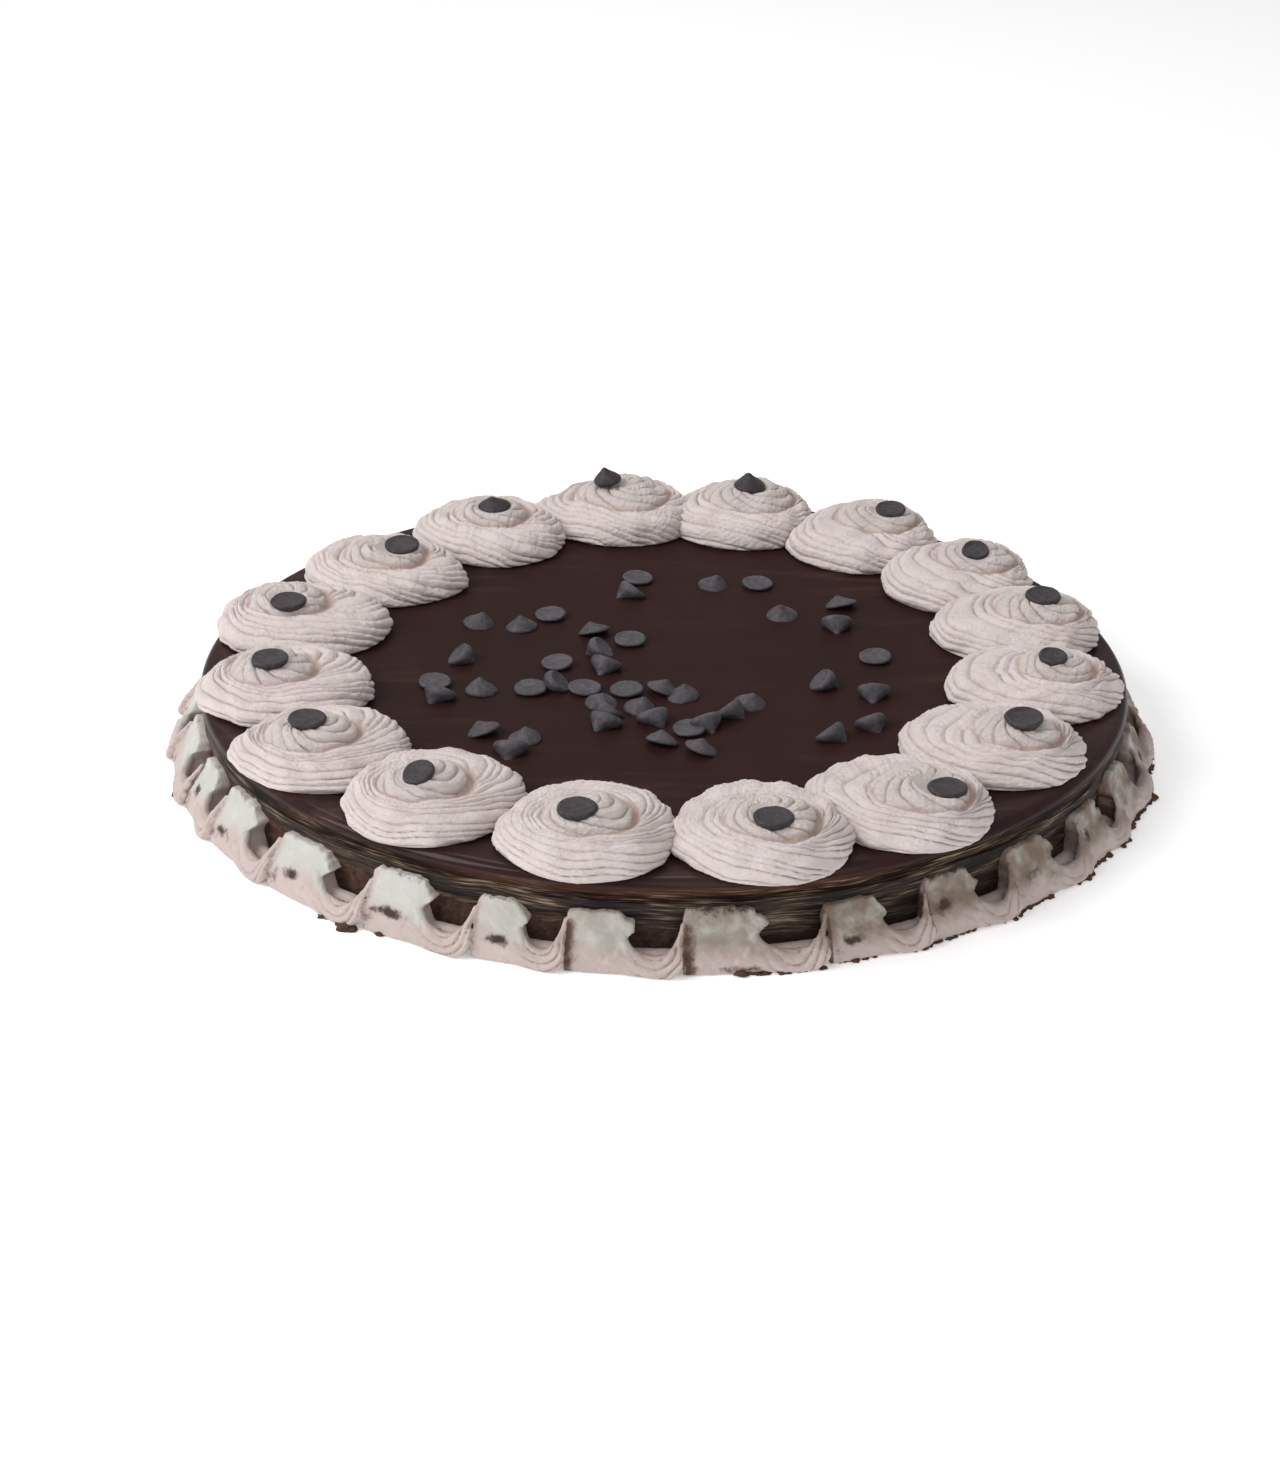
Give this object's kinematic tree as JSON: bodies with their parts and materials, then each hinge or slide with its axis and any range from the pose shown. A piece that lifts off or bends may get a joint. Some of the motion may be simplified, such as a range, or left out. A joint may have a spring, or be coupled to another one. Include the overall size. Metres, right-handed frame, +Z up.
{
  "type": "chocolate cream cake",
  "caption": "Low round chocolate cream cake with a dark glazed top, piped cream rosettes round the rim, chocolate chips and a piped cream border at the foot.",
  "frame": {"origin": "on the surface that the cake stands on, under the middle of the cake", "axes": "+Z up through the middle of the cake, -Y towards the front of the picture, +X to its right"},
  "size_m": [0.2655, 0.2666, 0.0375],
  "materials": {
    "coat": null,
    "glaze": null,
    "cream": null,
    "chip": null
  },
  "bodies": {
    "root": {"cake": "coat", "glaze": "glaze", "border": "cream", "rosette_01": "cream", "rosette_02": "cream", "rosette_03": "cream", "rosette_04": "cream", "rosette_05": "cream", "rosette_06": "cream", "rosette_07": "cream", "rosette_08": "cream", "rosette_09": "cream", "rosette_10": "cream", "rosette_11": "cream", "rosette_12": "cream", "rosette_13": "cream", "rosette_14": "cream", "rosette_15": "cream", "rosette_16": "cream", "chip_01": "chip", "chip_02": "chip", "chip_03": "chip", "chip_04": "chip", "chip_05": "chip", "chip_06": "chip", "chip_07": "chip", "chip_08": "chip", "chip_09": "chip", "chip_10": "chip", "chip_11": "chip", "chip_12": "chip", "chip_13": "chip", "chip_14": "chip", "chip_15": "chip", "chip_16": "chip"}
  },
  "joints": []
}
